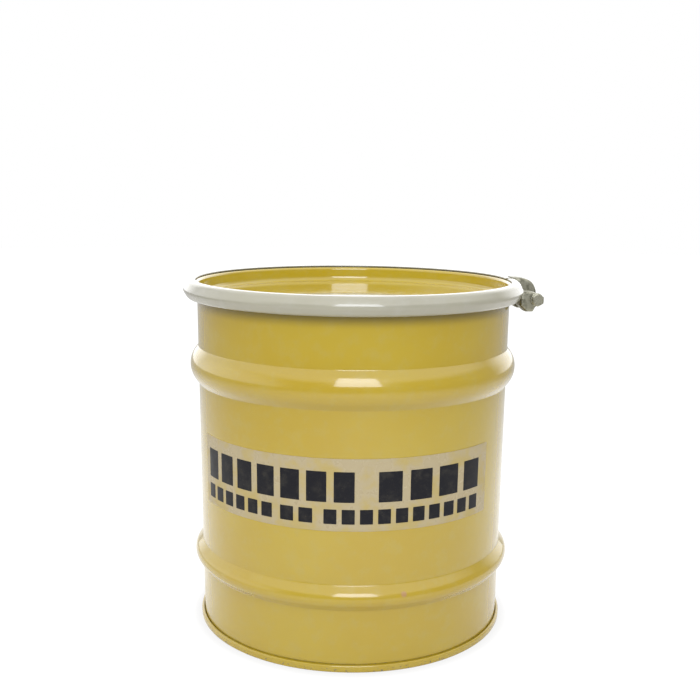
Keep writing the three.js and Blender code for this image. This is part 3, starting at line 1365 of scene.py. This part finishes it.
@dataclass
class Closure:
    """Two forged lugs on the ring's ends, drawn together by a bolt with a washer and a lock nut."""

    ring: ClosingRing
    pitch: float = 1.4111 * MM
    bolt_radius: float = 3.95 * MM
    thread_depth: float = 0.8 * MM
    hex_radius: float = 12.7 / math.sqrt(3) * MM
    head_from: float = -38.5 * MM
    shoulder: float = -33.2 * MM
    tip: float = 38.0 * MM
    nut_from: float = 1.9 * MM
    nut_to: float = 6.7 * MM
    washer_from: float = -32.9 * MM
    washer_to: float = -31.3 * MM
    washer_radius: float = 7.5 * MM
    foot: float = 14.0 * MM
    root: float = 189.9 * MM

    def __post_init__(self) -> None:
        """Reads the bolt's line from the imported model's joints."""
        spin = next(j for j in frame["joints"] if j["name"] == "bolt_spin")
        self.middle = Vector(spin["pos_m"])
        self.along = -Vector(spin["axis"]).normalized()
        self.up = Vector((0, 0, 1))
        self.out = self.along.cross(self.up).normalized()
        if self.out.dot(self.middle) < 0:
            self.out = -self.out
        self.axis_radius = math.hypot(self.middle.x, self.middle.y)

    def place(self, along: float, out: float, up: float) -> Vector:
        """Point near the bolt.

        Args:
            along: Place along the bolt, away from its head.
            out: Distance from its axis, away from the drum.
            up: Height above its axis.

        Returns:
            The point.
        """
        return self.middle + self.along * along + self.out * out + self.up * up

    def section(self, lug: LugShape) -> Outline:
        """Outline of a lug seen along the bolt, as distances out and up from the bolt's axis."""
        inner = self.root - self.axis_radius
        low = -self.foot
        top = lug.top - self.middle.z
        crown = lug.crown - self.middle.z
        ends = (Vector((inner, top)), Vector((lug.barrel, 0)))
        pull = (Vector(((inner + lug.crown_out) / 2, (top + crown) / 2)), Vector((lug.crown_out, crown)))
        steps = 16
        curve: Outline = []
        for i in range(steps + 1):
            t = i / steps
            s = 1 - t
            p = ends[0] * s**3 + pull[0] * (3 * s * s * t) + pull[1] * (3 * s * t * t) + ends[1] * t**3
            curve.append((p.x, p.y))
        barrel = arc((0, 0), lug.barrel, lug.barrel, 0, -math.pi / 2, 10)[1:]
        foot = rounded(
            [
                (0, -lug.barrel, 0),
                (-lug.barrel / 2, low, 1.5 * MM),
                (inner + self.foot / 2, low, 2.5 * MM),
                (inner, low / 2, 1.5 * MM),
                (inner, top, 0),
            ],
            4,
        )
        return curve + barrel + foot[1:-1]

    def lug(self, lug: LugShape) -> bpy.types.Object:
        """Forges one lug: a section swept along the bolt with rolled-off ends, cut to the ring and bored.

        Args:
            lug: Its sizes.

        Returns:
            The piece.
        """
        outline = self.section(lug)
        middle = Vector((-2.5 * MM, 0.5 * MM))
        roll = 2.6 * MM
        length = lug.end - lug.start
        stations: list[tuple[float, float]] = []
        for i in range(7):
            turn = math.pi / 2 * i / 6
            stations.append((lug.start + roll * (1 - math.cos(turn)), 1 - (1 - math.sin(turn)) * 0.2))
        for i in range(1, 10):
            t = i / 10
            waist = 1 + 0.015 * math.sin(math.pi * t)
            stations.append((lug.start + roll + (length - 2 * roll) * t, waist))
        stations += [(lug.start + lug.end - s, k) for s, k in stations[6::-1]]
        bm = bmesh.new()
        rows = []
        for along, share in stations:
            row = []
            for x, y in outline:
                point = middle + (Vector((x, y)) - middle) * share
                bumpy = noise.noise(Vector((x * 260, y * 260, along * 260))) * 0.14 * MM
                point += (Vector((x, y)) - middle).normalized() * bumpy
                row.append(bm.verts.new(self.place(along, point.x, point.y)))
            rows.append(row)
        grid_shell(bm, rows, wrap_rows=False, wrap=True)
        for row in (rows[0], rows[-1]):
            cap = bm.faces.new(row)
            bmesh.ops.triangulate(bm, faces=[cap], ngon_method="EAR_CLIP")
        blank = to_object(lug.name, bm)
        near = lug.start - MM
        far = lug.end + MM
        bore = self.on_bolt("lug_bore", [(near, 0.0), (near, lug.bore), (far, lug.bore), (far, 0.0)], 48)
        return with_cuts(blank, [self.ring.room(), bore])

    def on_bolt(
        self,
        name: str,
        outline: Outline,
        facets: int = 72,
        radius_at: Optional[RadiusAt] = None,
    ) -> bpy.types.Object:
        """Piece turned about the bolt's axis.

        Args:
            name: Name of the piece.
            outline: Place along the bolt and radius of each corner; closed where it reaches the axis.
            facets: Steps round the axis.
            radius_at: Changes a radius, from the place along the bolt, the angle and the radius.

        Returns:
            The new object.
        """
        bm = bmesh.new()
        rows = []
        for along, radius in outline:
            if radius < 1e-7:
                rows.append([bm.verts.new(self.place(along, 0, 0))] * facets)
                continue
            row = []
            for j in range(facets):
                angle = math.tau * j / facets
                size = radius_at(along, angle, radius) if radius_at else radius
                row.append(bm.verts.new(self.place(along, size * math.cos(angle), size * math.sin(angle))))
            rows.append(row)
        grid_shell(bm, rows, wrap_rows=outline[0][1] > 1e-7, wrap=True)
        return to_object(name, bm, math.radians(24))

    def flats(self, start: float, end: float) -> Outline:
        """Points along a hexagon's corner, close enough together to show its chamfers."""
        levels = 14
        return [(start + (end - start) * i / levels, self.hex_radius) for i in range(levels + 1)]

    def hexagon(self, start: float, end: float, chamfer_end: bool) -> RadiusAt:
        """Radius of a hexagon whose first end is chamfered.

        Args:
            start: Where the hexagon starts along the bolt.
            end: Where it ends.
            chamfer_end: Whether its last end is chamfered too.

        Returns:
            The function for on_bolt.
        """
        flat = self.hex_radius * math.cos(math.pi / 6)

        def radius_at(along: float, angle: float, radius: float) -> float:
            """Smaller of the flats and the chamfer cone."""
            if radius < flat * 0.93:
                return radius
            turn = (angle + math.pi / 6) % (math.pi / 3) - math.pi / 6
            hexed = flat / math.cos(turn)
            slope = math.tan(math.radians(60))
            cone = flat * 0.96 + (along - start) * slope
            if chamfer_end:
                cone = min(cone, flat * 0.96 + (end - along) * slope)
            return min(hexed, cone)

        return radius_at

    def bolt(self) -> bpy.types.Object:
        """Builds the bolt: chamfered hexagon head and a shank with a real helical thread."""
        head = [(self.head_from, 0.0), (self.head_from, 3.6 * MM), (self.head_from, self.hex_radius * 0.8)]
        head += self.flats(self.head_from, self.shoulder - 0.35 * MM)
        head.append((self.shoulder - 0.3 * MM, 5.6 * MM))
        head.append((self.shoulder, 5.5 * MM))
        neck = self.shoulder + 0.1 * MM
        steps = round((self.tip - neck) / (self.pitch / 9))
        shank = [(neck + (self.tip - neck) * i / steps, self.bolt_radius) for i in range(steps + 1)]
        outline = head + shank + [(self.tip, 2.2 * MM), (self.tip, 0.0)]
        hexed = self.hexagon(self.head_from, self.shoulder, False)

        def radius_at(along: float, angle: float, radius: float) -> float:
            """Hexagon on the head, helix on the shank, chamfer at the tip."""
            if along < self.shoulder + 0.05 * MM:
                return hexed(along, angle, radius)
            if radius < 3 * MM:
                return radius
            phase = (along / self.pitch + angle / math.tau) % 1
            cut = self.thread_depth * (1 - abs(2 * phase - 1))
            faded = min(1.0, max(0.0, (along - self.shoulder - 6 * MM) / (2 * MM)))
            tip = max(0.0, along - self.tip + 1.2 * MM)
            return radius - cut * faded - tip

        return self.on_bolt("closing_bolt_threaded", outline, 48, radius_at)

    def washer(self) -> bpy.types.Object:
        """Turns the washer under the head."""
        hole = self.bolt_radius + 0.65 * MM
        corners = (0.2 * MM, 0.3 * MM, 0.5 * MM, 0.2 * MM)
        path = closed_section((self.washer_from, self.washer_to), (hole, self.washer_radius), corners, 4)
        return self.on_bolt("bolt_washer_plain", path, 96)

    def nut(self) -> bpy.types.Object:
        """Builds the lock nut, chamfered on both faces."""
        hole = self.bolt_radius + 0.3 * MM
        outline = [(self.nut_from, hole + 0.5 * MM), (self.nut_from, self.hex_radius * 0.8)]
        outline += self.flats(self.nut_from, self.nut_to)
        outline += [(self.nut_to, self.hex_radius * 0.8), (self.nut_to, hole + 0.5 * MM)]
        outline += [(self.nut_to - 0.5 * MM, hole), (self.nut_from + 0.5 * MM, hole)]
        hexed = self.hexagon(self.nut_from, self.nut_to, True)
        return self.on_bolt("lock_nut_hexagon", outline, 72, hexed)

    def weld(self, name: str, start: float, end: float, height: float) -> bpy.types.Object:
        """Lays a rippled weld bead where a lug meets the ring's face.

        Args:
            name: Name of the piece.
            start: First place along the bolt.
            end: Last place along the bolt.
            height: Height of the bead.

        Returns:
            The piece.
        """
        middle = (self.ring.high + self.ring.low) / 2
        half = (self.ring.high - self.ring.low) / 2
        share = (height - middle) / half
        ring_radius = self.ring.outside - self.ring.round_depth * (1 - math.sqrt(1 - share * share))
        bm = bmesh.new()
        rows = []
        steps = 90
        for i in range(steps + 1):
            t = i / steps
            along = start + (end - start) * t
            ripple = 0.82 + 0.18 * abs(math.sin(math.pi * along / (1.7 * MM)))
            taper = math.sqrt(max(1 - (2 * t - 1) ** 8, 0.02))
            size = 1.25 * MM * ripple * taper
            out = math.sqrt(ring_radius**2 - along**2) - self.axis_radius + 0.35 * MM
            wander = noise.noise(Vector((along * 200, 0, 1))) * 0.3 * MM
            row = []
            for j in range(12):
                angle = math.tau * j / 12
                x = out + size * math.cos(angle)
                y = height - self.middle.z + wander + size * math.sin(angle)
                row.append(bm.verts.new(self.place(along, x, y)))
            rows.append(row)
        grid_shell(bm, rows, wrap_rows=False, wrap=True)
        bm.faces.new(rows[0])
        bm.faces.new(rows[-1])
        return to_object(name, bm)

    def build(self, forging: bpy.types.Material, plated: bpy.types.Material) -> None:
        """Builds and dresses the closure.

        Args:
            forging: Finish of the lugs.
            plated: Finish of the bolt, washer and nut.
        """
        ring_top = self.ring.high
        plain = LugShape(
            "plain_lug_forging", "plain_lug", -31 * MM, -7 * MM, 6.8 * MM,
            self.middle.z + 8.8 * MM, 6.8 * MM, self.middle.z + 8.8 * MM, self.bolt_radius + 0.65 * MM,
        )
        threaded = LugShape(
            "threaded_lug_forging", "threaded_lug", 7 * MM, 33 * MM, 11 * MM,
            ring_top - 0.3 * MM, 10 * MM, ring_top - 0.3 * MM, self.bolt_radius + 0.3 * MM,
        )
        for lug in (plain, threaded):
            fit_piece(self.lug(lug), Body.RING, forging, [lug.node])
        beads = (
            ("plain_lug_weld_top", -30 * MM, -8 * MM, self.middle.z + 8.4 * MM),
            ("threaded_lug_weld_top", 8 * MM, 32 * MM, ring_top - 3.2 * MM),
        )
        for name, start, end, height in beads:
            fit_piece(self.weld(name, start, end, height), Body.RING, forging)
        fit_piece(self.bolt(), Body.BOLT, plated, ["closing_bolt"])
        fit_piece(self.washer(), Body.CARRIAGE, plated, ["bolt_washer"])
        fit_piece(self.nut(), Body.NUT, plated, ["lock_nut"])


# ---------------------------------------------------------------- studio


@dataclass
class Studio:
    """Pale floor, white surroundings, a tall softbox with a low fill in front, and the camera."""

    azimuth: float = math.radians(4.8)
    distance: float = 1.15365
    height: float = 0.51075
    pitch: float = 0.2439
    roll: float = 0.0107
    focal: float = 1.41935143
    shift: tuple[float, float] = (-0.00281, 0.1143)
    sensor: float = 36.0
    room_radius: float = 7.0
    softbox_colour: tuple[float, float, float] = (0.93, 0.97, 1.08)
    softbox_aside: float = 0.1
    softbox_distance: float = 1.5

    def turned_round(self, x: float, y: float, z: float) -> Vector:
        """Point given as seen from the camera's side, turned to where the camera stands."""
        return Matrix.Rotation(self.azimuth, 4, "Z") @ Vector((x, y, z))

    def camera(self) -> None:
        """Sets up the camera."""
        data = bpy.data.cameras.new("studio_camera")
        data.sensor_width = self.sensor
        data.lens = self.focal * self.sensor
        data.shift_x, data.shift_y = self.shift
        camera = bpy.data.objects.new("studio_camera", data)
        bpy.context.scene.collection.objects.link(camera)
        turn = Matrix.Rotation(self.azimuth, 4, "Z") @ Matrix.Rotation(math.pi / 2 - self.pitch, 4, "X")
        spot = self.turned_round(0, -self.distance, self.height)
        camera.matrix_world = Matrix.Translation(spot) @ turn @ Matrix.Rotation(self.roll, 4, "Z")
        bpy.context.scene.camera = camera

    def softbox(
        self,
        name: str,
        height: float,
        size: tuple[float, float],
        power: float,
        mirrored: bool,
    ) -> None:
        """Hangs one rectangular softbox in front of the drum, facing straight ahead.

        Args:
            name: Name of the light.
            height: Height of its middle.
            size: Width and height of its face.
            power: Power in watts.
            mirrored: Whether glossy surfaces reflect it.
        """
        at = self.turned_round(self.softbox_aside, -self.softbox_distance, height)
        ahead = self.turned_round(self.softbox_aside, 0, height)
        data = bpy.data.lights.new(name, "AREA")
        data.shape = "RECTANGLE"
        data.size, data.size_y = size
        data.energy = power
        data.color = self.softbox_colour
        light = bpy.data.objects.new(name, data)
        light.location = at
        light.rotation_euler = (ahead - at).to_track_quat("-Z", "Y").to_euler()
        light.visible_camera = False
        light.visible_glossy = mirrored
        bpy.context.scene.collection.objects.link(light)

    def surroundings(self) -> None:
        """Sets the white surroundings that stand behind everything."""
        world = bpy.data.worlds.new("studio_surroundings")
        bpy.context.scene.world = world
        world.use_nodes = True
        background = world.node_tree.nodes["Background"]
        background.inputs["Color"].default_value = (1, 1, 1, 1)
        background.inputs["Strength"].default_value = 1.0

    def room(self) -> None:
        """Hangs the lit room, a dome that the camera doesn't see."""
        bm = bmesh.new()
        bmesh.ops.create_uvsphere(bm, u_segments=64, v_segments=32, radius=self.room_radius)
        low = [v for v in bm.verts if v.co.z < -0.01]
        bmesh.ops.delete(bm, geom=low, context="VERTS")
        room = to_object("studio_room", bm)
        room.visible_camera = False
        room.data.materials.append(RoomGlow().build())

    def disc(self, name: str, depth: float, material: bpy.types.Material) -> bpy.types.Object:
        """Lays a wide disc under the drum.

        Args:
            name: Name of the disc.
            depth: How far under the drum's foot it lies.
            material: Its finish.

        Returns:
            The disc, tied to no body of the drum.
        """
        bm = bmesh.new()
        bmesh.ops.create_circle(bm, cap_ends=True, radius=self.room_radius * 0.99, segments=96)
        disc = to_object(name, bm)
        disc.location.z = -depth
        disc.data.materials.append(material)
        return disc

    def floor(self) -> None:
        """Lays the pale floor that is seen, and the duller one that lights the drum from below."""
        seen = self.disc("studio_floor", 0.2 * MM, StudioFloor().build())
        seen.visible_diffuse = False
        seen.visible_glossy = False
        seen.visible_shadow = False
        bounce = self.disc("studio_floor_bounce", 0.3 * MM, FloorBounce().build())
        bounce.visible_camera = False

    def build(self) -> None:
        """Sets up the studio."""
        bpy.context.scene.view_settings.view_transform = "Standard"
        self.camera()
        self.surroundings()
        self.room()
        self.floor()
        self.softbox("front_softbox", 1.38, (0.82, 1.44), 19.4, True)
        self.softbox("front_fill", 0.56, (0.82, 0.2), 2.9, False)


# ---------------------------------------------------------------- assembly

YELLOW: Colour = (0.385, 0.274, 0.015, 1)
YELLOW_DEEP: Colour = (0.375, 0.256, 0.009, 1)
YELLOW_PALE: Colour = (0.375, 0.284, 0.045, 1)
# Painted light: the cover's yellows are the body's paint made lighter, standing in for light that the
# recessed cover lacks.
COVER_YELLOW_PAINTED_LIGHTER: Colour = (0.43, 0.315, 0.02, 1)
COVER_YELLOW_PAINTED_LIGHTER_DEEP: Colour = (0.42, 0.297, 0.014, 1)
COVER_YELLOW_PAINTED_LIGHTER_PALE: Colour = (0.42, 0.325, 0.055, 1)
RING_GREY: Colour = (0.318, 0.302, 0.224, 1)
RING_GREY_DEEP: Colour = (0.285, 0.272, 0.207, 1)
RING_GREY_PALE: Colour = (0.335, 0.322, 0.26, 1)
BRIGHT_ZINC: Colour = (0.45, 0.44, 0.35, 1)
DULL_ZINC: Colour = (0.22, 0.21, 0.15, 1)


def main() -> None:
    """Builds every piece of the drum and the studio round it."""
    logging.basicConfig(level=logging.INFO, format="%(name)s: %(message)s")
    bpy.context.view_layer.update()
    body_paint = Enamel(
        "yellow body enamel",
        YELLOW,
        YELLOW_DEEP,
        YELLOW_PALE,
        wear=(
            WearBand(3 * MM, 4.5 * MM, 0.61),
            WearBand(87 * MM, 3 * MM, 0.74),
            WearBand(310 * MM, 3 * MM, 0.75),
        ),
        grime=((8.9 * MM, 0.6 * MM),),
        # Painted shade centred on the closing ring's lower edge, fading out over 15 mm each way.
        shadow=(384 * MM, 15 * MM, 0.62),
        blemish=((0.0716, -0.1728, 0.090), 0.0045),
        peel=0.4,
    ).build()
    # Cover paint lighter than the body's: painted light for the recess.
    cover_paint = Enamel(
        "yellow cover enamel",
        COVER_YELLOW_PAINTED_LIGHTER,
        COVER_YELLOW_PAINTED_LIGHTER_DEEP,
        COVER_YELLOW_PAINTED_LIGHTER_PALE,
        rough=0.09,
        peel=0.12,
        dusty=0.15,
    ).build()
    ring_paint = Enamel(
        "grey ring enamel",
        RING_GREY,
        RING_GREY_DEEP,
        RING_GREY_PALE,
        bare=(0.2, 0.19, 0.15, 1),
        wear=(WearBand(384 * MM, 3 * MM, 0.68),),
        dark_edge=0.1814,
    ).build()
    sealant = Elastomer("dried seam compound", (0.05, 0.05, 0.045, 1), (0.12, 0.11, 0.09, 1)).build()
    rubber = Elastomer("gasket rubber", (0.018, 0.018, 0.018, 1), (0.05, 0.05, 0.048, 1)).build()
    forging = ZincPlate("zinc plated forging").build()
    plated = ZincPlate("zinc plated fastener", BRIGHT_ZINC, DULL_ZINC, 0.24, 0.06 * MM).build()

    DrumBody().build(body_paint, sealant)
    Label().build(Film().build(), PrintInk().build())
    Cover().build(cover_paint, rubber)
    ring = ClosingRing()
    ring.build(ring_paint)
    Closure(ring).build(forging, plated)
    Studio().build()


if __name__ == "__main__":
    main()
